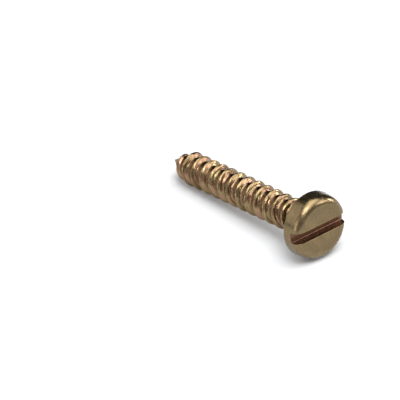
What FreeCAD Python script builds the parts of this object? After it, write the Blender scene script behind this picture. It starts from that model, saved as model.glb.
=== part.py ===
"""Slotted pan head wood screw, No. 8 by 1 inch, threaded over its whole shank.

The origin is the centre of the bearing face under the head. +X is the screw's axis, from the
point to the head: the head stands at positive x, and the shank runs to the point at negative x.
+Z is up, across the axis, when the screw lies down, and the slot runs along Y.

The real screw is one piece of steel wire: the head is cold headed, the slot is cut, the thread
and the gimlet point are rolled into the shank, and the whole is plated. So it is one solid here.
"""

import math
import os

import FreeCAD
import Part
import Sketcher

os.makedirs("parts", exist_ok=True)

doc = FreeCAD.newDocument("wood_screw")

# ------------------------------------------------------------------ driving sizes, mm and degrees

DRIVING_SIZES = [
    ("total_length", 25.4, "bearing face to the tip of the point"),
    ("head_diameter", 8.0, "widest diameter of the pan head"),
    ("head_height", 2.4, "bearing face to the flat top"),
    ("crown_radius", 1.1, "rounding between the side and the flat top"),
    ("side_draft", 4.0, "lean of the side of the head"),
    ("rim_radius", 0.15, "rounding of the rim at the bearing face"),
    ("slot_width", 1.3, "width of the driving slot"),
    ("slot_depth", 1.2, "depth of the driving slot below the flat top"),
    ("slot_overrun", 1.0, "how far the slot's cut runs out past the head"),
    ("neck_diameter", 3.6, "plain neck under the head"),
    ("neck_length", 1.6, "bearing face to the end of the plain neck"),
    ("neck_fillet", 0.45, "fillet between the bearing face and the neck"),
    ("neck_taper", 0.3, "length of the step from the neck down to the root"),
    ("thread_diameter", 4.15, "major diameter, over the crests"),
    ("root_diameter", 2.9, "minor diameter, at the roots"),
    ("pitch", 25.4 / 15, "15 threads to the inch"),
    ("crest_width", 0.14, "flat on the crest"),
    ("flank_angle", 60.0, "angle between the two flanks of the ridge"),
    ("thread_start", 0.6, "bearing face to the middle of the ridge's first section"),
    ("thread_stop", 1.2, "middle of the ridge's last section to the tip"),
    ("ridge_foot", 0.3, "radius down to which the ridge is rooted in the core"),
    ("runout_length", 1.3, "length over which the crest rises from the neck"),
    ("cone_length", 3.4, "length of the root cone of the point"),
    ("crest_cone_length", 3.1, "length over which the crest falls to the tip"),
    ("tip_radius", 0.1, "blunt end of the point"),
    ("tip_crest_radius", 0.3, "radius of the crest's cone at the tip"),
    ("cut_margin", 0.5, "how far the trimming cuts run past the thread"),
]


def write_sheet():
    """Put every driving size in the document's spreadsheet, one alias a row."""
    new_sheet = doc.addObject("Spreadsheet::Sheet", "sizes")
    for row, (alias, value, meaning) in enumerate(DRIVING_SIZES, start=1):
        new_sheet.set("A%d" % row, alias)
        new_sheet.set("B%d" % row, repr(value))
        new_sheet.set("C%d" % row, meaning)
        new_sheet.setAlias("B%d" % row, alias)
    doc.recompute()
    return new_sheet


sheet = write_sheet()


def size(alias):
    """The plain number in the cell of that name."""
    return float(sheet.get(alias))


# ------------------------------------------------------------------ sketches

AXIS = -1  # the sketch's own horizontal axis, and with point 1 its origin


def new_sketch(body, name, role):
    """An empty sketch on the body's own origin plane with that role."""
    plane = next(feature for feature in body.Origin.OriginFeatures if feature.Role == role)
    sketch = body.newObject("Sketcher::SketchObject", name)
    sketch.AttachmentSupport = [(plane, "")]
    sketch.MapMode = "FlatFace"
    return sketch


def add_outline(sketch, corners):
    """A closed outline of straight lines through the corners; line i starts at corner i."""
    for start, end in zip(corners, corners[1:] + corners[:1]):
        line = Part.LineSegment(FreeCAD.Vector(*start, 0), FreeCAD.Vector(*end, 0))
        sketch.addGeometry(line, False)
    for line in range(len(corners)):
        following = (line + 1) % len(corners)
        sketch.addConstraint(Sketcher.Constraint("Coincident", line, 2, following, 1))


def place_corner(sketch, corner, name, across=None, out=None):
    """Bind a corner's distance across (sketch x) and out (sketch y) from the origin to the sheet.

    An expression gives a distance without its sign; the side is the one the corner is drawn on.
    """
    for kind, axis_name, expression in (("DistanceX", "_across", across), ("DistanceY", "_out", out)):
        if expression is None:
            continue
        vertex = sketch.Geometry[corner].StartPoint
        drawn = vertex.x if kind == "DistanceX" else vertex.y
        ends = (AXIS, 1, corner, 1) if drawn >= 0 else (corner, 1, AXIS, 1)
        constraint = sketch.addConstraint(Sketcher.Constraint(kind, *ends, abs(drawn)))
        sketch.renameConstraint(constraint, name + axis_name)
        sketch.setExpression("Constraints." + name + axis_name, expression)


def level(sketch, *lines):
    """Lines along the screw's axis."""
    for line in lines:
        sketch.addConstraint(Sketcher.Constraint("Horizontal", line))


def square(sketch, *lines):
    """Lines straight out from the screw's axis."""
    for line in lines:
        sketch.addConstraint(Sketcher.Constraint("Vertical", line))


# ------------------------------------------------------------------ the blank: head, neck, core, point


def draw_blank(body):
    """Half section of the headed blank, to be turned about the axis."""
    total = size("total_length")
    rim = size("head_diameter") / 2
    top = size("head_height")
    neck = size("neck_diameter") / 2
    root = size("root_diameter") / 2
    neck_end = size("neck_length")
    side_lean = top * math.tan(math.radians(size("side_draft")))

    corners = [
        (-total, 0),
        (-total, size("tip_radius")),
        (-total + size("cone_length"), root),
        (-neck_end - size("neck_taper"), root),
        (-neck_end, neck),
        (0, neck),
        (0, rim),
        (top, rim - side_lean),
        (top, 0),
    ]
    sketch = new_sketch(body, "blank_section", "XZ_Plane")
    add_outline(sketch, corners)
    square(sketch, 0, 5, 7)
    level(sketch, 2, 4, 8)
    place_corner(sketch, 0, "tip", across="sizes.total_length")
    sketch.addConstraint(Sketcher.Constraint("PointOnObject", 0, 1, AXIS))
    place_corner(sketch, 1, "tip_edge", out="sizes.tip_radius")
    place_corner(sketch, 2, "cone_top", across="sizes.total_length - sizes.cone_length",
                 out="sizes.root_diameter / 2")
    place_corner(sketch, 3, "core_top", across="sizes.neck_length + sizes.neck_taper")
    place_corner(sketch, 4, "neck_end", across="sizes.neck_length", out="sizes.neck_diameter / 2")
    sketch.addConstraint(Sketcher.Constraint("PointOnObject", 5, 1, -2))
    place_corner(sketch, 6, "rim", out="sizes.head_diameter / 2")
    place_corner(sketch, 7, "top_edge", across="sizes.head_height",
                 out="sizes.head_diameter / 2 - sizes.head_height * tan(sizes.side_draft * 1 deg)")
    return sketch


def edges_at(shape, x, radius):
    """Names of the round edges about the axis, of that radius, that lie at that x."""
    names = []
    for number, edge in enumerate(shape.Edges, start=1):
        curve = edge.Curve
        if not hasattr(curve, "Radius"):
            continue
        if abs(curve.Center.x - x) < 0.01 and abs(curve.Radius - radius) < 0.01:
            names.append("Edge%d" % number)
    return names


def round_edge(body, name, base, x, radius, alias):
    """Fillet the round edges at x with the radius in the sheet."""
    fillet = body.newObject("PartDesign::Fillet", name)
    fillet.Base = (base, edges_at(base.Shape, x, radius))
    fillet.setExpression("Radius", "sizes." + alias)
    doc.recompute()
    return fillet


def make_blank(body):
    """Turn the half section, then round the crown, the rim and the corner under the head."""
    section = draw_blank(body)
    doc.recompute()
    turned = body.newObject("PartDesign::Revolution", "blank")
    turned.Profile = section
    turned.ReferenceAxis = (section, ["H_Axis"])
    turned.Angle = 360
    doc.recompute()

    top = size("head_height")
    lean = top * math.tan(math.radians(size("side_draft")))
    rim = size("head_diameter") / 2
    crown = round_edge(body, "crown", turned, top, rim - lean, "crown_radius")
    rounded_rim = round_edge(body, "rim", crown, 0, rim, "rim_radius")
    return round_edge(body, "under_head", rounded_rim, 0, size("neck_diameter") / 2, "neck_fillet")


# ------------------------------------------------------------------ the thread


def draw_ridge(body):
    """One section of the thread's ridge, below the axis, down to its foot in the core."""
    crest = size("thread_diameter") / 2
    root = size("root_diameter") / 2
    half_crest = size("crest_width") / 2
    half_base = half_crest + (crest - root) * math.tan(math.radians(size("flank_angle") / 2))
    middle = -size("thread_start")
    foot = size("ridge_foot")

    corners = [
        (middle - half_base, -foot),
        (middle - half_base, -root),
        (middle - half_crest, -crest),
        (middle + half_crest, -crest),
        (middle + half_base, -root),
        (middle + half_base, -foot),
    ]
    sketch = new_sketch(body, "ridge_section", "XZ_Plane")
    add_outline(sketch, corners)
    square(sketch, 0, 4)
    level(sketch, 2, 5)
    base = "(sizes.crest_width / 2 + (sizes.thread_diameter - sizes.root_diameter) / 2" \
           " * tan(sizes.flank_angle * 0.5 deg))"
    place_corner(sketch, 0, "foot", out="sizes.ridge_foot")
    place_corner(sketch, 1, "far_root", across="sizes.thread_start + " + base,
                 out="sizes.root_diameter / 2")
    place_corner(sketch, 2, "far_crest", across="sizes.thread_start + sizes.crest_width / 2",
                 out="sizes.thread_diameter / 2")
    place_corner(sketch, 3, "near_crest", across="sizes.thread_start - sizes.crest_width / 2")
    place_corner(sketch, 4, "near_root", across="sizes.thread_start - " + base,
                 out="sizes.root_diameter / 2")
    return sketch


def make_thread(body):
    """Run the ridge's section along a right-hand helix, from the neck nearly to the tip."""
    section = draw_ridge(body)
    doc.recompute()
    thread = body.newObject("PartDesign::AdditiveHelix", "thread")
    thread.Profile = section
    thread.ReferenceAxis = (section, ["H_Axis"])
    thread.Mode = "pitch-height-angle"
    thread.setExpression("Pitch", "sizes.pitch")
    thread.setExpression("Height", "sizes.total_length - sizes.thread_start - sizes.thread_stop")
    thread.LeftHanded = False
    thread.Reversed = True
    doc.recompute()
    return thread


def trim_thread(body, name, corners, places):
    """Turn away what stands outside the crest's envelope; places binds each corner."""
    sketch = new_sketch(body, name + "_section", "XZ_Plane")
    add_outline(sketch, corners)
    for corner, (across, out) in enumerate(places):
        place_corner(sketch, corner, "corner%d" % corner, across=across, out=out)
    doc.recompute()
    groove = body.newObject("PartDesign::Groove", name)
    groove.Profile = sketch
    groove.ReferenceAxis = (sketch, ["H_Axis"])
    groove.Angle = 360
    doc.recompute()
    return groove


def trim_runout(body):
    """The crest rises out of the neck along a shallow cone."""
    neck = size("neck_diameter") / 2
    crest = size("thread_diameter") / 2
    outside = crest + size("cut_margin")
    corners = [
        (-size("neck_fillet"), neck),
        (-size("neck_length"), neck),
        (-size("neck_length") - size("runout_length"), crest),
        (-size("neck_length") - size("runout_length"), outside),
        (-size("neck_fillet"), outside),
    ]
    rim = "sizes.thread_diameter / 2 + sizes.cut_margin"
    crest_start = "sizes.neck_length + sizes.runout_length"
    places = [
        ("sizes.neck_fillet", "sizes.neck_diameter / 2"),
        ("sizes.neck_length", "sizes.neck_diameter / 2"),
        (crest_start, "sizes.thread_diameter / 2"),
        (crest_start, rim),
        ("sizes.neck_fillet", rim),
    ]
    return trim_thread(body, "runout", corners, places)


def trim_point(body):
    """The crest falls towards the tip along a cone outside the root's."""
    total = size("total_length")
    crest = size("thread_diameter") / 2
    outside = crest + size("cut_margin")
    cone_start = total - size("crest_cone_length")
    corners = [
        (-cone_start, crest),
        (-total, size("tip_crest_radius")),
        (-total - size("cut_margin"), size("tip_crest_radius")),
        (-total - size("cut_margin"), outside),
        (-cone_start, outside),
    ]
    rim = "sizes.thread_diameter / 2 + sizes.cut_margin"
    places = [
        ("sizes.total_length - sizes.crest_cone_length", "sizes.thread_diameter / 2"),
        ("sizes.total_length", "sizes.tip_crest_radius"),
        ("sizes.total_length + sizes.cut_margin", "sizes.tip_crest_radius"),
        ("sizes.total_length + sizes.cut_margin", rim),
        ("sizes.total_length - sizes.crest_cone_length", rim),
    ]
    return trim_thread(body, "gimlet_point", corners, places)


# ------------------------------------------------------------------ the driving slot


def cut_slot(body):
    """A straight saw cut across the head along Y, drawn square on and cut to both sides."""
    floor = size("head_height") - size("slot_depth")
    half_width = size("slot_width") / 2
    above = size("head_height") + size("cut_margin")
    corners = [(floor, -half_width), (above, -half_width), (above, half_width), (floor, half_width)]
    sketch = new_sketch(body, "slot_section", "XZ_Plane")
    add_outline(sketch, corners)
    floor_place = "sizes.head_height - sizes.slot_depth"
    above_place = "sizes.head_height + sizes.cut_margin"
    places = [floor_place, above_place, above_place, floor_place]
    for corner, across in enumerate(places):
        place_corner(sketch, corner, "corner%d" % corner, across=across, out="sizes.slot_width / 2")
    doc.recompute()
    slot = body.newObject("PartDesign::Pocket", "slot")
    slot.Profile = sketch
    slot.Midplane = True
    slot.setExpression("Length", "sizes.head_diameter + 2 * sizes.slot_overrun")
    doc.recompute()
    return slot


# ------------------------------------------------------------------ the screw


def check(feature, smaller_than=None, larger_than=None):
    """Stop if a step failed, or did not take away or add what it should."""
    if "Invalid" in feature.State or "Error" in feature.State:
        raise RuntimeError("%s failed: %s" % (feature.Label, feature.State))
    if feature.Shape.isNull() or not feature.Shape.isValid():
        raise RuntimeError("%s has no valid shape" % feature.Label)
    volume = feature.Shape.Volume
    if smaller_than is not None and volume >= smaller_than:
        raise RuntimeError("%s took nothing away" % feature.Label)
    if larger_than is not None and volume <= larger_than:
        raise RuntimeError("%s added nothing" % feature.Label)
    return volume


def make_screw():
    """The whole screw in the order it is made: blank, thread, point, slot."""
    body = doc.addObject("PartDesign::Body", "screw")
    body.Label = "screw"
    volume = check(make_blank(body))
    volume = check(make_thread(body), larger_than=volume)
    volume = check(trim_runout(body), smaller_than=volume)
    volume = check(trim_point(body), smaller_than=volume)
    check(cut_slot(body), smaller_than=volume)
    return body


screw = make_screw()
doc.recompute()

for item in doc.Objects:
    if "Invalid" in item.State or "Error" in item.State:
        raise RuntimeError("%s is in state %s" % (item.Label, item.State))

for node in (screw,):
    check(node)
    node.Shape.exportStep("parts/%s.step" % node.Label)
    print(node.Label, "volume %.2f mm3" % node.Shape.Volume, "solids", len(node.Shape.Solids))
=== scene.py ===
"""A yellow passivated wood screw with a slotted pan head, 25.4 mm long under the head."""

import math

import bmesh
import bpy
from mathutils import Matrix, Vector


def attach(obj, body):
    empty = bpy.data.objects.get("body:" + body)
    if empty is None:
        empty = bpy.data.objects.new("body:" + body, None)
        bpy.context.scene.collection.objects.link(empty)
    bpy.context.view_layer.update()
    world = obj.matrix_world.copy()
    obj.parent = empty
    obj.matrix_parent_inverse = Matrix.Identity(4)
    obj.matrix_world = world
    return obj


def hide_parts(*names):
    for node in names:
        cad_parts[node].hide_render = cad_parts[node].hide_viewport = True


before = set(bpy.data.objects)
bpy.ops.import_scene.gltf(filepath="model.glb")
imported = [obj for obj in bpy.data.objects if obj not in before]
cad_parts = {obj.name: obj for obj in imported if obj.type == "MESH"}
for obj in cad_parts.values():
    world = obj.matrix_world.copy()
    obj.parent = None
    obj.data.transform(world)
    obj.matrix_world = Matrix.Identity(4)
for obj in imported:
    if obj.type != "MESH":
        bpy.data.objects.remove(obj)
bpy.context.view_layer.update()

# ----------------------------------------------------------------------------------------
# The plating. The screw is cold-headed steel wire, zinc plated and dipped in a yellow
# passivate, which dries to an olive gold film with copper-pink and pale lemon clouds.
# The grooves are darkened brown, painted shade in the thread's valleys; the crests,
# which rub in the barrel, show a plain straw one.
# ----------------------------------------------------------------------------------------

MM = 0.001
PER_MM = 1000.0  # metres to millimetres, so that patterns are sized in millimetres
PITCH_MM = 25.4 / 15

# One plating covers head and shank, but the head's olive base is darker and the shank's straw
# base lighter: painted shade on the head and painted light on the shank.
HEAD_SHADED_OLIVE_GOLD = (0.180, 0.133, 0.068, 1.0)
SHANK_LIT_STRAW_GOLD = (0.228, 0.168, 0.082, 1.0)
LEMON_GOLD = (0.320, 0.270, 0.125, 1.0)
COPPER_PINK = (0.360, 0.200, 0.132, 1.0)
# dark brown for the film's own dark streaks, and for painted shade in the thread's grooves
STREAK_AND_GROOVE_SHADE_BROWN = (0.105, 0.050, 0.028, 1.0)
# painted shade: the dark brown laid on the slot's floor and walls, where shade falls in the
# recess
SLOT_SHADE_BROWN = (0.145, 0.080, 0.055, 1.0)

LEMON_CLOUD_MM = 1.6
PINK_CLOUD_MM = 0.9
GLOSS_CLOUD_MM = 0.5
GRAIN_MM = 0.12
STREAK_RING = 1.7  # radius, in noise cells, that one pitch is wrapped round
STREAK_DRIFT = 0.6  # noise cells per millimetre along the ridge
RINGS_PER_MM = 5.0
RING_SLICE = 0.5
LEMON_EDGE = (0.50, 0.60)
PINK_EDGE = (0.50, 0.62)
PALE_MARK = (0.51, 0.58)
DARK_MARK = (0.46, 0.38)
GROOVE_SHADE_EDGE = (0.35, 0.0)  # share of the ridge's height
GROOVE_SHADE_SHARE = 0.5
CREST_EDGE = (0.65, 0.95)
SLOT_SHADE_EDGE = (0.2, 0.9)
SLOT_SHADE_SHARE = 0.85
GLOSS_EDGE = (0.3, 0.7)
MARK_RELIEF = 6.0  # height of the marks against the grain
RELIEF_STRENGTH = 0.8


def wire(material, outlet, inlet):
    """Joins an outlet to an inlet, or sets the inlet when a plain value is given."""
    if isinstance(outlet, bpy.types.NodeSocket):
        material.node_tree.links.new(outlet, inlet)
    else:
        inlet.default_value = outlet


def cloud(material, place, size, detail, distortion=0.0):
    """Returns a soft noise whose patches are about `size` millimetres across."""
    nodes = material.node_tree.nodes
    mapping = nodes.new("ShaderNodeMapping")
    mapping.inputs["Scale"].default_value = [PER_MM / size] * 3
    wire(material, place, mapping.inputs["Vector"])
    noise = nodes.new("ShaderNodeTexNoise")
    noise.inputs["Scale"].default_value = 1.0
    noise.inputs["Detail"].default_value = detail
    noise.inputs["Distortion"].default_value = distortion
    wire(material, mapping.outputs["Vector"], noise.inputs["Vector"])
    return noise.outputs["Fac"]


def between(material, value, edge, to_low=0.0, to_high=1.0):
    """Returns `value` stretched from the edge's two ends to to_low..to_high, with soft ends."""
    ramp = material.node_tree.nodes.new("ShaderNodeMapRange")
    ramp.interpolation_type = "SMOOTHSTEP"
    ramp.inputs["From Min"].default_value, ramp.inputs["From Max"].default_value = edge
    ramp.inputs["To Min"].default_value = to_low
    ramp.inputs["To Max"].default_value = to_high
    wire(material, value, ramp.inputs["Value"])
    return ramp.outputs["Result"]


def tint(material, amount, under, over):
    """Returns the colour `under` with `over` laid on it by `amount`."""
    mix = material.node_tree.nodes.new("ShaderNodeMix")
    mix.data_type = "RGBA"
    wire(material, amount, mix.inputs["Factor"])
    wire(material, under, mix.inputs["A"])
    wire(material, over, mix.inputs["B"])
    return mix.outputs["Result"]


def step(material, operation, *values):
    """Returns the result of one arithmetic step on sockets or numbers."""
    node = material.node_tree.nodes.new("ShaderNodeMath")
    node.operation = operation
    for value, inlet in zip(values, node.inputs):
        wire(material, value, inlet)
    return node.outputs["Value"]


def place_parts(material):
    """Returns the place on the piece as a vector, and its X, Y and Z in millimetres."""
    place = material.node_tree.nodes.new("ShaderNodeTexCoord").outputs["Object"]
    apart = material.node_tree.nodes.new("ShaderNodeSeparateXYZ")
    wire(material, place, apart.inputs["Vector"])
    return place, [step(material, "MULTIPLY", o, PER_MM) for o in apart.outputs]


def reading(material, name):
    """Returns a point attribute that the mesh carries."""
    node = material.node_tree.nodes.new("ShaderNodeAttribute")
    node.attribute_name = name
    return node.outputs["Fac"]


def lines(material, parts, detail):
    """Returns a noise over three numbers that already carry their own sizes."""
    joined = material.node_tree.nodes.new("ShaderNodeCombineXYZ")
    for part, inlet in zip(parts, joined.inputs):
        wire(material, part, inlet)
    noise = material.node_tree.nodes.new("ShaderNodeTexNoise")
    noise.inputs["Scale"].default_value = 1.0
    noise.inputs["Detail"].default_value = detail
    wire(material, joined.outputs["Vector"], noise.inputs["Vector"])
    return noise.outputs["Fac"]


def rolled_lines(material, x, y, z):
    """Returns fine streaks that follow the ridge, as the rolling dies leave them."""
    angle = step(material, "ARCTAN2", z, y)
    turned = step(material, "MULTIPLY", x, 2 * math.pi / PITCH_MM)
    lead = step(material, "SUBTRACT", turned, angle)
    across = step(material, "MULTIPLY", step(material, "COSINE", lead), STREAK_RING)
    beside = step(material, "MULTIPLY", step(material, "SINE", lead), STREAK_RING)
    along = [step(material, "MULTIPLY", part, STREAK_DRIFT) for part in (x, y, z)]
    drift = step(material, "ADD", step(material, "ADD", along[0], along[1]), along[2])
    return lines(material, (across, beside, drift), 2.0)


def turned_lines(material, x, y, z):
    """Returns faint rings about the axis, as the heading punch leaves them."""
    squares = [step(material, "MULTIPLY", part, part) for part in (y, z)]
    radius = step(material, "SQRT", step(material, "ADD", *squares))
    rings = [step(material, "MULTIPLY", part, RINGS_PER_MM) for part in (radius, x)]
    return lines(material, (*rings, RING_SLICE), 4.0)


def plating(name, mark_lines, base, shares, crest_rub, gloss, relief_depth):
    """Returns the passivated finish, with the marks that its part of the screw has.

    `shares` is how strongly the marks, the lemon clouds and the pink clouds show.
    """
    mark_share, lemon_share, pink_share = shares
    material = bpy.data.materials.new(name)
    material.use_nodes = True
    shader = material.node_tree.nodes["Principled BSDF"]
    shader.inputs["Metallic"].default_value = 1.0
    place, (x, y, z) = place_parts(material)
    marks = mark_lines(material, x, y, z)
    height = reading(material, "ridge")

    lemon = between(
        material, cloud(material, place, LEMON_CLOUD_MM, 2.0), LEMON_EDGE, 0.0, lemon_share
    )
    pink_cloud = cloud(material, place, PINK_CLOUD_MM, 3.0, distortion=0.6)
    pink = between(material, pink_cloud, PINK_EDGE, 0.0, pink_share)
    pale = between(material, marks, PALE_MARK, 0.0, mark_share)
    dark = between(material, marks, DARK_MARK, 0.0, mark_share)
    # painted shade: the thread's valleys are darkened brown, more the lower they lie on the
    # ridge
    groove_shade = between(material, height, GROOVE_SHADE_EDGE, 0.0, GROOVE_SHADE_SHARE)
    crest = between(material, height, CREST_EDGE, 0.0, crest_rub)
    # painted shade in the slot, on the faces that the mesh marks as lying in it
    slot_shade = between(material, reading(material, "slot_shade"), SLOT_SHADE_EDGE, 0.0, SLOT_SHADE_SHARE)
    film = base
    for amount, colour in (
        (lemon, LEMON_GOLD),
        (pink, COPPER_PINK),
        (pale, COPPER_PINK),
        (dark, STREAK_AND_GROOVE_SHADE_BROWN),
        (groove_shade, STREAK_AND_GROOVE_SHADE_BROWN),
        (crest, base),
        (slot_shade, SLOT_SHADE_BROWN),
    ):
        film = tint(material, amount, film, colour)
    wire(material, film, shader.inputs["Base Color"])

    dull = between(material, cloud(material, place, GLOSS_CLOUD_MM, 3.0), GLOSS_EDGE, *gloss)
    wire(material, dull, shader.inputs["Roughness"])
    grain = cloud(material, place, GRAIN_MM, 3.0)
    relief = step(material, "MULTIPLY_ADD", marks, MARK_RELIEF, grain)
    bump = material.node_tree.nodes.new("ShaderNodeBump")
    bump.inputs["Strength"].default_value = RELIEF_STRENGTH
    bump.inputs["Distance"].default_value = relief_depth
    wire(material, relief, bump.inputs["Height"])
    wire(material, bump.outputs["Normal"], shader.inputs["Normal"])
    return material


# the shank's lighter straw base is painted light; the head's darker olive base is painted shade
rolled_plating = plating(
    "rolled_thread_plating",
    rolled_lines,
    SHANK_LIT_STRAW_GOLD,
    shares=(0.8, 0.6, 0.5),
    crest_rub=0.8,
    gloss=(0.14, 0.25),
    relief_depth=0.022 * MM,
)
headed_plating = plating(
    "headed_plating",
    turned_lines,
    HEAD_SHADED_OLIVE_GOLD,
    shares=(0.10, 0.12, 0.12),
    crest_rub=0.0,
    gloss=(0.19, 0.33),
    relief_depth=0.004 * MM,
)

# ----------------------------------------------------------------------------------------
# The threaded shank and its gimlet point. A right-hand ridge is rolled on to the wire,
# 15 turns to the inch; it rises from the neck and runs down almost to the sharp end.
# Its cross-section is one strip, wound round the axis as a helix by a node tree.
# ----------------------------------------------------------------------------------------

ROUND_STEPS = 128  # points round the shank
ACROSS_STEPS = 24  # points across one turn of the ridge
TURNS_WOUND = 16
QUARTER_TURN = 0.25
MERGE = 0.0015 * MM
NECK_END = -1.6 * MM
NECK_RADIUS = 1.8 * MM
THREAD_SIZES = {
    "Pitch": PITCH_MM * MM,
    "Root Radius": 1.45 * MM,
    "Crest Radius": 2.075 * MM,
    "Crest Half Width": 0.07 * MM,
    "Crest Rounding": 0.26 * MM,
    "Root Rounding": 0.22 * MM,
    "Flank Slope": 1.0 / math.tan(math.radians(30.0)),
    "Neck Radius": NECK_RADIUS,
    "Neck End": NECK_END,
    "Neck Swell": -2.0 * MM,
    "Ridge Risen": -2.2 * MM,
    "Ridge Full": -2.9 * MM,
    "First Crest": -0.6 * MM,  # where the ridge line leaves the neck, below the axis
    "Tip": -25.4 * MM,
    "Tip Crest Radius": 0.3 * MM,
    "Point Start": -22.3 * MM,
    "Point Blunt": 0.30 * MM,
    "Point Slope": 0.43,
    "Point Rounding": 0.15 * MM,
    "Point Bare": 0.4 * MM,
    "Point Ridged": 1.5 * MM,
}


class Winding:
    """Node arithmetic for the tree that winds the ridge, on sockets or plain numbers."""

    def __init__(self, tree):
        self.tree = tree

    def join(self, value, inlet):
        if isinstance(value, bpy.types.NodeSocket):
            self.tree.links.new(value, inlet)
        else:
            inlet.default_value = value

    def node(self, kind, **settings):
        made = self.tree.nodes.new(kind)
        for name, value in settings.items():
            setattr(made, name, value)
        return made

    def math(self, operation, *values):
        made = self.node("ShaderNodeMath", operation=operation)
        for value, inlet in zip(values, made.inputs):
            self.join(value, inlet)
        return made.outputs["Value"]

    def slope(self, value, low, high, to_low, to_high, kind="LINEAR"):
        made = self.node("ShaderNodeMapRange", interpolation_type=kind)
        for inlet, number in zip(made.inputs, (value, low, high, to_low, to_high)):
            self.join(number, inlet)
        return made.outputs["Result"]


def thread_tree():
    """Returns the node tree that winds the threaded shank from its named sizes."""
    tree = bpy.data.node_groups.new("wound_thread", "GeometryNodeTree")
    face = tree.interface
    for name, value in THREAD_SIZES.items():
        size = face.new_socket(name, in_out="INPUT", socket_type="NodeSocketFloat")
        size.default_value = value
    turns = face.new_socket("Turns", in_out="INPUT", socket_type="NodeSocketInt")
    turns.default_value = TURNS_WOUND
    face.new_socket("Shank", in_out="OUTPUT", socket_type="NodeSocketGeometry")
    w = Winding(tree)
    given = w.node("NodeGroupInput").outputs

    grid = w.node("GeometryNodeMeshGrid")
    w.join(1.0, grid.inputs["Size X"])
    w.join(1.0, grid.inputs["Size Y"])
    along_count = w.math("MULTIPLY_ADD", given["Turns"], float(ROUND_STEPS), 1.0)
    w.join(along_count, grid.inputs["Vertices X"])
    w.join(ACROSS_STEPS + 1, grid.inputs["Vertices Y"])
    flat = w.node("ShaderNodeSeparateXYZ")
    w.join(w.node("GeometryNodeInputPosition").outputs["Position"], flat.inputs["Vector"])

    turn = w.math("MULTIPLY", w.math("ADD", flat.outputs["X"], 0.5), given["Turns"])
    aside = w.math("MULTIPLY", flat.outputs["Y"], given["Pitch"])
    last_turn = w.math("SUBTRACT", given["Turns"], QUARTER_TURN)
    lead_in = w.math("SUBTRACT", turn, last_turn)
    crest_at = w.math("MULTIPLY_ADD", lead_in, given["Pitch"], given["First Crest"])
    x = w.math("ADD", crest_at, aside)
    x = w.math("MINIMUM", w.math("MAXIMUM", x, given["Tip"]), given["Neck End"])

    from_tip = w.math("SUBTRACT", x, given["Tip"])
    blunt = given["Point Blunt"]
    reach = w.math("ADD", from_tip, blunt)
    squares = [w.math("MULTIPLY", part, part) for part in (reach, blunt)]
    cone = w.math("SQRT", w.math("SUBTRACT", *squares))
    cone = w.math("MULTIPLY", cone, given["Point Slope"])
    neck_swell = w.slope(x, given["Neck Swell"], given["Neck End"], 0.0, 1.0, "SMOOTHSTEP")
    neck_height = w.math("SUBTRACT", given["Neck Radius"], given["Root Radius"])
    core = w.math("MULTIPLY_ADD", neck_swell, neck_height, given["Root Radius"])
    core = w.math("SMOOTH_MIN", core, cone, given["Point Rounding"])
    core = w.math("MAXIMUM", core, 0.0)

    full = given["Crest Radius"]
    crest = w.slope(x, given["Neck End"], given["Ridge Full"], given["Neck Radius"], full)
    point = w.slope(x, given["Tip"], given["Point Start"], given["Tip Crest Radius"], full)
    crest = w.math("MINIMUM", crest, point)
    off_crest = w.math("SUBTRACT", w.math("ABSOLUTE", aside), given["Crest Half Width"])
    flank = w.math("SUBTRACT", crest, w.math("MULTIPLY", off_crest, given["Flank Slope"]))
    ridge_top = w.math("SMOOTH_MIN", flank, crest, given["Crest Rounding"])
    outline = w.math("SMOOTH_MAX", core, ridge_top, given["Root Rounding"])
    neck_fade = w.slope(x, given["Neck End"], given["Ridge Risen"], 0.0, 1.0, "SMOOTHSTEP")
    bare, ridged = given["Point Bare"], given["Point Ridged"]
    point_fade = w.slope(from_tip, bare, ridged, 0.0, 1.0, "SMOOTHSTEP")
    fade = w.math("MULTIPLY", neck_fade, point_fade)
    lift = w.math("MULTIPLY", w.math("SUBTRACT", outline, core), fade)
    radius = w.math("ADD", core, lift)

    angle = w.math("MULTIPLY", turn, 2.0 * math.pi)
    wound = w.node("ShaderNodeCombineXYZ")
    w.join(x, wound.inputs["X"])
    w.join(w.math("MULTIPLY", radius, w.math("COSINE", angle)), wound.inputs["Y"])
    w.join(w.math("MULTIPLY", radius, w.math("SINE", angle)), wound.inputs["Z"])
    full_height = w.math("SUBTRACT", given["Crest Radius"], given["Root Radius"])
    store = w.node("GeometryNodeStoreNamedAttribute", data_type="FLOAT", domain="POINT")
    w.join(grid.outputs["Mesh"], store.inputs["Geometry"])
    w.join("ridge", store.inputs["Name"])
    w.join(w.math("DIVIDE", lift, full_height), store.inputs["Value"])
    bend = w.node("GeometryNodeSetPosition")
    w.join(store.outputs["Geometry"], bend.inputs["Geometry"])
    w.join(wound.outputs["Vector"], bend.inputs["Position"])
    weld = w.node("GeometryNodeMergeByDistance")
    w.join(bend.outputs["Geometry"], weld.inputs["Geometry"])
    w.join(MERGE, weld.inputs["Distance"])
    smooth = w.node("GeometryNodeSetShadeSmooth")
    w.join(weld.outputs["Geometry"], smooth.inputs["Geometry"])
    real = w.node("GeometryNodeRealizeInstances")
    w.join(smooth.outputs["Geometry"], real.inputs["Geometry"])
    finish = w.node("GeometryNodeSetMaterial")
    finish.inputs["Material"].default_value = rolled_plating
    w.join(real.outputs["Geometry"], finish.inputs["Geometry"])
    w.join(finish.outputs["Geometry"], w.node("NodeGroupOutput").inputs["Shank"])
    return tree


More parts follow.
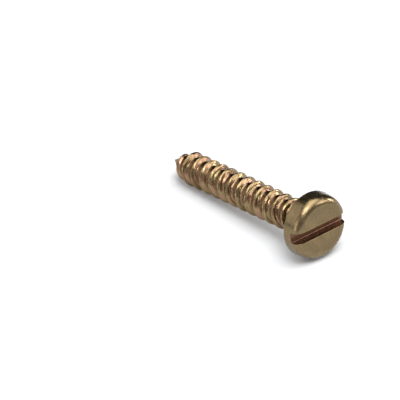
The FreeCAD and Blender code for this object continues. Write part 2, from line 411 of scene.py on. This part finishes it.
def wound_shank():
    """Returns the plain mesh that the thread tree makes."""
    holder = bpy.data.objects.new("shank_winding", bpy.data.meshes.new("shank_winding"))
    bpy.context.scene.collection.objects.link(holder)
    modifier = holder.modifiers.new("thread", "NODES")
    modifier.node_group = thread_tree()
    sockets = {s.name: s.identifier for s in modifier.node_group.interface.items_tree}
    modifier[sockets["Turns"]] = TURNS_WOUND
    for name, value in THREAD_SIZES.items():
        modifier[sockets[name]] = value
    shaped = holder.evaluated_get(bpy.context.evaluated_depsgraph_get())
    mesh = bpy.data.meshes.new_from_object(shaped)
    holder.modifiers.remove(modifier)
    bpy.data.objects.remove(holder)
    return mesh


# ----------------------------------------------------------------------------------------
# The pan head and the neck. The wire's end is upset into a round head with a flat top and
# a full, rounded shoulder, then a straight slot is sawn across it, edge to edge.
# A small fillet joins the flat underside to the short plain neck.
# ----------------------------------------------------------------------------------------

# The head is laid out in millimetres, and its points are brought to metres as they are laid.
HEAD_RADIUS = 4.0
HEAD_HEIGHT = 2.4
CROWN_RADIUS = 1.1
SIDE_DRAFT = math.radians(4.0)
RIM_RADIUS = 0.15
SLOT_HALF = 0.65
SLOT_FLOOR = 1.2
SLOT_FILLET = 0.10
SLOT_LIP = 0.06
NECK_FILLET = 0.45
NECK_R = NECK_RADIUS / MM
DOME = 0.04
SLOT_MARGIN = 0.01 * MM
SLOT_REACH = 0.05 * MM
LIP_STEPS = 4
FILLET_STEPS = 4
SLOT_STEPS = 6  # faces across the straight part of the slot's floor, at each end
CROWN_STEPS = 22
TOP_STEPS = 12
RIM_STEPS = 6
UNDER_STEPS = 6
NECK_FILLET_STEPS = 12
NECK_MID = -1.0
SIDE_MID = 0.55  # share of the height below the slot's floor
CREASE = math.radians(9.0)
LAND_STEPS = (ROUND_STEPS - 2 * SLOT_STEPS) // 2


def arc(cx, cr, radius, start, stop, steps):
    """Returns points (x, r) on an arc; angles are in radians from the outward radius."""
    turned = (start + (stop - start) * i / steps for i in range(steps + 1))
    return [(cx + radius * math.sin(a), cr + radius * math.cos(a)) for a in turned]


def side_radius(x):
    """Returns the radius of the head's drafted side at height x."""
    return HEAD_RADIUS - x * math.tan(SIDE_DRAFT)


crown_x = HEAD_HEIGHT - DOME - CROWN_RADIUS
crown_edge_x = crown_x + CROWN_RADIUS * math.sin(SIDE_DRAFT)
crown_r = side_radius(crown_edge_x) - CROWN_RADIUS * math.cos(SIDE_DRAFT)
slot_edge = SLOT_HALF + SLOT_LIP
corner_r = SLOT_FILLET + SLOT_LIP


def land_profile():
    """Returns (x, r, edge z, corner angle) rows up the side, over the crown, to the middle."""
    rows = []
    for i in range(FILLET_STEPS + 1):
        a = math.pi / 2 * (1 - i / FILLET_STEPS)
        x = SLOT_FLOOR + SLOT_FILLET - corner_r * math.sin(a)
        z = SLOT_HALF - SLOT_FILLET + corner_r * math.cos(a)
        rows.append((x, side_radius(x), z, a))
    low = SLOT_FLOOR + SLOT_FILLET
    middle = (low + crown_edge_x) / 2
    rows.append((middle, side_radius(middle), slot_edge, 0.0))
    for x, r in arc(crown_x, crown_r, CROWN_RADIUS, SIDE_DRAFT, math.pi / 2, CROWN_STEPS):
        rows.append((x, r, slot_edge, 0.0))
    for i in range(1, TOP_STEPS + 1):
        r = crown_r + (slot_edge - crown_r) * i / TOP_STEPS
        x = HEAD_HEIGHT - DOME * (r / crown_r) ** 2
        rows.append((x, r, slot_edge, 0.0))
    return rows


LAND = land_profile()
TOP_ROW = FILLET_STEPS + 2 + CROWN_STEPS  # the row where the crown meets the flat top


def land_point(row, i, side):
    """Returns point i round the edge of one land, counted from the +Y end of the slot."""
    x, r, z, _ = LAND[row]
    start = math.asin(min(1.0, z / r))
    a = start + (math.pi - 2 * start) * i / LAND_STEPS
    return Vector((x, r * math.cos(a), side * r * math.sin(a)))


def land_normal(row):
    """Returns the outward slope of the head's surface, as (along X, outwards), at a row."""
    x0, r0 = LAND[max(row - 1, 0)][:2]
    x1, r1 = LAND[min(row + 1, len(LAND) - 1)][:2]
    length = math.hypot(x1 - x0, r1 - r0)
    return (r0 - r1) / length, (x1 - x0) / length


def lip_point(row, step, side, end):
    """Returns a point on the slot's rounded lip: step 0 is on the land, the last in the slot."""
    base = land_point(row, 0, side)
    a = math.pi / 2 * step / LIP_STEPS
    corner = LAND[row][3]
    inward = Vector((math.sin(corner), 0.0, -side * math.cos(corner)))
    along, out = land_normal(row)
    if corner > 0.0:
        along, out = 0.0, 1.0
    turned = math.asin(min(1.0, base.z * side / LAND[row][1]))
    flatways = Vector((along, out * math.cos(turned), 0.0))
    flatways.normalize()
    point = base + inward * (SLOT_LIP * math.sin(a)) - flatways * (SLOT_LIP * (1 - math.cos(a)))
    return Vector((point.x, end * point.y, point.z))


def floor_point(i, step, end):
    """Returns a point on the rounded edge between the slot's floor and the head's side."""
    half = SLOT_HALF - SLOT_FILLET
    first = lip_point(0, step, 1, end)
    z = half - 2 * half * i / SLOT_STEPS
    a = math.asin(half / LAND[0][1])
    rim = LAND[0][1] * (math.cos(math.asin(z / LAND[0][1])) - math.cos(a))
    return Vector((first.x, first.y + end * rim, z))


def ring(x, r, blend):
    """Returns a full ring; blend 0 follows the slot's ends, 1 is evenly spaced."""
    half = math.asin((SLOT_HALF - SLOT_FILLET) / LAND[0][1])
    points = []
    for i in range(ROUND_STEPS):
        j = i % (ROUND_STEPS // 2)
        turned = math.pi * (i // (ROUND_STEPS // 2))
        if j <= SLOT_STEPS:
            z = (SLOT_HALF - SLOT_FILLET) * (2 * j / SLOT_STEPS - 1)
            a = math.asin(z / LAND[0][1])
        else:
            a = half + (math.pi - 2 * half) * (j - SLOT_STEPS) / LAND_STEPS
        even = (j - SLOT_STEPS / 2) * 2 * math.pi / ROUND_STEPS
        a = turned + a + (even - a) * blend
        points.append(Vector((x, r * math.cos(a), r * math.sin(a))))
    return points + points[:1]


def lay(bm, rows):
    """Adds a sheet of faces through rows of points, in millimetres."""
    made = [[bm.verts.new(p * MM) for p in row] for row in rows]
    for low, high in zip(made, made[1:]):
        for a, b, c, d in zip(low, low[1:], high[1:], high):
            bm.faces.new((a, b, c, d))


def head_sheets(bm):
    """Adds the lands, the slot, the side, the underside and the neck."""
    rows = range(len(LAND))
    lips = range(LIP_STEPS + 1)
    for side in (1, -1):
        lay(bm, [[land_point(k, i, side) for i in range(LAND_STEPS + 1)] for k in rows])
        for end in (1, -1):
            lay(bm, [[lip_point(k, j, side, end) for j in lips] for k in rows])
        for k in range(TOP_ROW):
            ends = (1, -1)
            lay(bm, [[lip_point(m, LIP_STEPS, side, end) for end in ends] for m in (k, k + 1)])
        top = [lip_point(k, LIP_STEPS, side, 1) for k in rows[TOP_ROW:]]
        top += [lip_point(k, LIP_STEPS, side, -1) for k in reversed(rows[TOP_ROW:-1])]
        bm.faces.new([bm.verts.new(p * MM) for p in top])
    across = range(SLOT_STEPS + 1)
    for end in (1, -1):
        lay(bm, [[floor_point(i, j, end) for j in lips] for i in across])
    lay(bm, [[floor_point(i, LIP_STEPS, end) for i in across] for end in (1, -1)])

    floor_x, floor_r = LAND[0][:2]
    side_x = SIDE_MID * floor_x
    rim_r = side_radius(RIM_RADIUS) - RIM_RADIUS
    rim = arc(RIM_RADIUS, rim_r, RIM_RADIUS, 0.0, -math.pi / 2, RIM_STEPS)
    fillet_r = NECK_R + NECK_FILLET
    flat_from = rim[-1][1]
    under = [(floor_x, floor_r), (side_x, side_radius(side_x)), *rim]
    for i in range(1, UNDER_STEPS):
        under.append((0.0, flat_from + (fillet_r - flat_from) * i / UNDER_STEPS))
    under += arc(-NECK_FILLET, fillet_r, NECK_FILLET, math.pi / 2, math.pi, NECK_FILLET_STEPS)
    under += [(NECK_MID, NECK_R), (NECK_END / MM, NECK_R)]
    last = len(under) - 1
    lay(bm, [ring(x, r, i / last) for i, (x, r) in enumerate(under)])


def in_slot(co):
    """Says whether a point of the head lies on the slot's floor or walls."""
    beside = abs(co.z) < SLOT_HALF * MM + SLOT_MARGIN
    return beside and SLOT_FLOOR * MM - SLOT_REACH < co.x < HEAD_HEIGHT * MM - SLOT_REACH


def whole_screw():
    """Returns one closed mesh of shank, point, neck and head."""
    head = bmesh.new()
    head_sheets(head)
    spare = bpy.data.meshes.new("head_sheets")
    head.to_mesh(spare)
    head.free()

    bm = bmesh.new()
    bm.from_mesh(wound_shank())
    wound_verts, wound_faces = len(bm.verts), len(bm.faces)
    bm.from_mesh(spare)
    # marks the slot's floor and walls, which the plating darkens as painted shade
    slot_shade_layer = bm.verts.layers.float.new("slot_shade")
    ridge_layer = bm.verts.layers.float["ridge"]
    bm.verts.ensure_lookup_table()
    for vert in bm.verts[wound_verts:]:
        vert[ridge_layer] = 1.0
        vert[slot_shade_layer] = float(in_slot(vert.co))
    for i, face in enumerate(bm.faces):
        face.material_index = int(i >= wound_faces)  # 0 is the shank, 1 is the head
    bmesh.ops.remove_doubles(bm, verts=bm.verts, dist=MERGE)
    bmesh.ops.dissolve_degenerate(bm, dist=MERGE * 0.5, edges=bm.edges)
    bmesh.ops.recalc_face_normals(bm, faces=bm.faces)
    for edge in bm.edges:
        headed = all(face.material_index == 1 for face in edge.link_faces)
        edge.smooth = not headed or edge.calc_face_angle() < CREASE
    mesh = bpy.data.meshes.new("screw_body")
    bm.to_mesh(mesh)
    bm.free()
    return mesh


screw_mesh = whole_screw()
screw_mesh.materials.append(rolled_plating)
screw_mesh.materials.append(headed_plating)
screw_mesh.polygons.foreach_set("use_smooth", [True] * len(screw_mesh.polygons))
screw = bpy.data.objects.new("screw_body", screw_mesh)
bpy.context.scene.collection.objects.link(screw)

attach(screw, "root")
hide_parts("screw")

# ----------------------------------------------------------------------------------------
# The table top under it. The screw lies on the rim of its head and on a crest near the
# point, so in the screw's own frame the plain, pale surface is tilted a few degrees.
# ----------------------------------------------------------------------------------------

REST_FRONT = Vector((0.0, 0.0, -HEAD_RADIUS * MM))
REST_BACK = Vector((THREAD_SIZES["Point Start"], 0.0, -THREAD_SIZES["Crest Radius"]))
TABLE_HALF = 600.0 * MM
rise = math.atan2(REST_BACK.z - REST_FRONT.z, REST_FRONT.x - REST_BACK.x)

table_mesh = bpy.data.meshes.new("table_top")
corners = [(TABLE_HALF * i, TABLE_HALF * j, 0) for i, j in ((-1, -1), (1, -1), (1, 1), (-1, 1))]
table_mesh.from_pydata(corners, [], [(0, 1, 2, 3)])
table_mesh.transform(Matrix.Translation(REST_FRONT) @ Matrix.Rotation(rise, 4, "Y"))
paper = bpy.data.materials.new("white_card")
paper.use_nodes = True
paper_shader = paper.node_tree.nodes["Principled BSDF"]
paper_shader.inputs["Base Color"].default_value = (0.695, 0.705, 0.72, 1.0)
paper_shader.inputs["Roughness"].default_value = 0.9
paper_shader.inputs["Specular IOR Level"].default_value = 0.1
table_mesh.materials.append(paper)
table_top = bpy.data.objects.new("table_top", table_mesh)
bpy.context.scene.collection.objects.link(table_top)

# ----------------------------------------------------------------------------------------
# Light and camera. A large soft panel hangs overhead and another to the left; smaller ones
# draw the bright lines on the crown, the crests and the slot. The room is brighter in
# front of the screw than behind it, which leaves the back of the head's side dark.
# ----------------------------------------------------------------------------------------


def panel(name, azimuth, elevation, distance, size, power):
    """Adds a square soft light that faces the screw, placed like a camera view."""
    a, e = math.radians(azimuth), math.radians(elevation)
    back = Vector((math.sin(a) * math.cos(e), -math.cos(a) * math.cos(e), math.sin(e)))
    light = bpy.data.lights.new(name, "AREA")
    light.shape = "SQUARE"
    light.size = size
    light.energy = power
    holder = bpy.data.objects.new(name, light)
    holder.location = back * distance
    holder.rotation_mode = "QUATERNION"
    holder.rotation_quaternion = (-back).to_track_quat("-Z", "Y")
    bpy.context.scene.collection.objects.link(holder)


panel("overhead_panel", 118.0, 72.0, 0.40, 0.38, 1.7)
panel("right_panel", 136.0, 24.0, 0.42, 0.20, 0.55)
panel("crown_panel", 66.0, 52.0, 0.46, 0.19, 0.95)
panel("left_panel", -45.0, 36.0, 0.45, 0.46, 0.80)
panel("low_panel", 166.0, 12.0, 0.45, 0.10, 0.45)
panel("front_panel", 8.0, 16.0, 0.50, 0.26, 0.50)

BRIGHT_SIDE = (0.80, -0.55, 0.24)
ROOM_EDGE = (-0.30, 0.90)
ROOM_STRENGTH = (0.07, 0.45)

world = bpy.data.worlds.new("studio")
bpy.context.scene.world = world
world.use_nodes = True
air = world.node_tree
room = air.nodes["Background"]
room.inputs["Color"].default_value = (1.0, 1.0, 1.0, 1.0)
facing = air.nodes.new("ShaderNodeVectorMath")
facing.operation = "DOT_PRODUCT"
facing.inputs[1].default_value = BRIGHT_SIDE
air.links.new(air.nodes.new("ShaderNodeTexCoord").outputs["Generated"], facing.inputs[0])
fall = air.nodes.new("ShaderNodeMapRange")
fall.interpolation_type = "SMOOTHSTEP"
fall.inputs["From Min"].default_value, fall.inputs["From Max"].default_value = ROOM_EDGE
fall.inputs["To Min"].default_value, fall.inputs["To Max"].default_value = ROOM_STRENGTH
air.links.new(facing.outputs["Value"], fall.inputs["Value"])
air.links.new(fall.outputs["Result"], room.inputs["Strength"])
backdrop = air.nodes.new("ShaderNodeBackground")
backdrop.inputs["Color"].default_value = (0.97, 0.97, 0.97, 1.0)
seen = air.nodes.new("ShaderNodeLightPath")
pick = air.nodes.new("ShaderNodeMixShader")
air.links.new(seen.outputs["Is Camera Ray"], pick.inputs["Fac"])
air.links.new(room.outputs["Background"], pick.inputs[1])
air.links.new(backdrop.outputs["Background"], pick.inputs[2])
air.links.new(pick.outputs["Shader"], air.nodes["World Output"].inputs["Surface"])

VIEW_AZIMUTH = math.radians(52.52)
VIEW_ELEVATION = math.radians(28.15)
VIEW_ROLL = math.radians(-6.44)
VIEW_DISTANCE = 348.3 * MM
AIM_RIGHT = -12.72 * MM
AIM_UP = 2.67 * MM

toward = Vector((math.sin(VIEW_AZIMUTH), -math.cos(VIEW_AZIMUTH), math.tan(VIEW_ELEVATION)))
toward.normalize()
level = (-toward).cross(Vector((0, 0, 1))).normalized()
upright = level.cross(-toward)
right = level * math.cos(VIEW_ROLL) + upright * math.sin(VIEW_ROLL)
up = upright * math.cos(VIEW_ROLL) - level * math.sin(VIEW_ROLL)
camera_data = bpy.data.cameras.new("camera")
camera_data.lens = 270.0
camera_data.sensor_width = 36.0
camera_data.clip_start = 0.01
camera_data.clip_end = 5.0
camera = bpy.data.objects.new("camera", camera_data)
stand = toward * VIEW_DISTANCE
behind = (stand - right * AIM_RIGHT - up * AIM_UP).normalized()
across = up.cross(behind).normalized()
turned = Matrix((across, behind.cross(across), behind)).transposed().to_4x4()
camera.matrix_world = Matrix.Translation(stand) @ turned
bpy.context.scene.collection.objects.link(camera)
bpy.context.scene.camera = camera
bpy.context.scene.view_settings.view_transform = "Standard"
